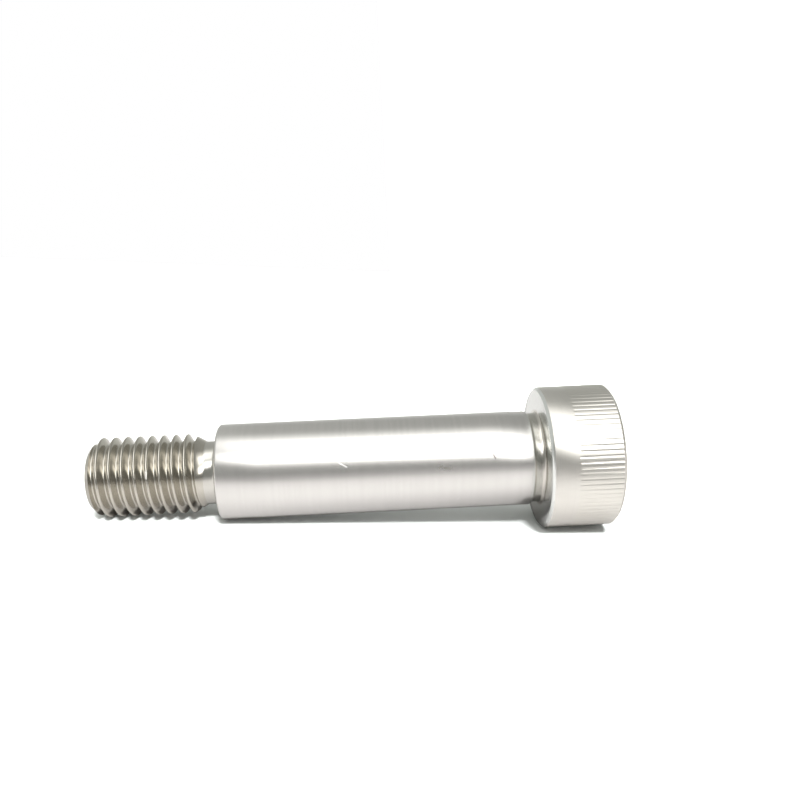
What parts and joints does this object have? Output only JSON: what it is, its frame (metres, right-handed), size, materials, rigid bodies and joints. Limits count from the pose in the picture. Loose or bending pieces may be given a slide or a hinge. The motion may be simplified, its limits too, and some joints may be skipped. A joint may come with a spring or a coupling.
{
  "type": "shoulder bolt",
  "caption": "Socket head shoulder bolt: a ground cylindrical shoulder with a reduced thread below a knurled cylindrical head, used as a pivot or guide pin.",
  "frame": {"origin": "centre of the head's end face, which the bolt stands on", "axes": "+Z along the axis from the head through the shoulder to the thread; two corners of the hexagon socket lie on X"},
  "size_m": [0.018, 0.018, 0.065],
  "materials": {
    "stainless": "ground satin shoulder, knurled head, rolled thread"
  },
  "bodies": {
    "root": {"shoulder_bolt": "stainless"}
  },
  "joints": []
}
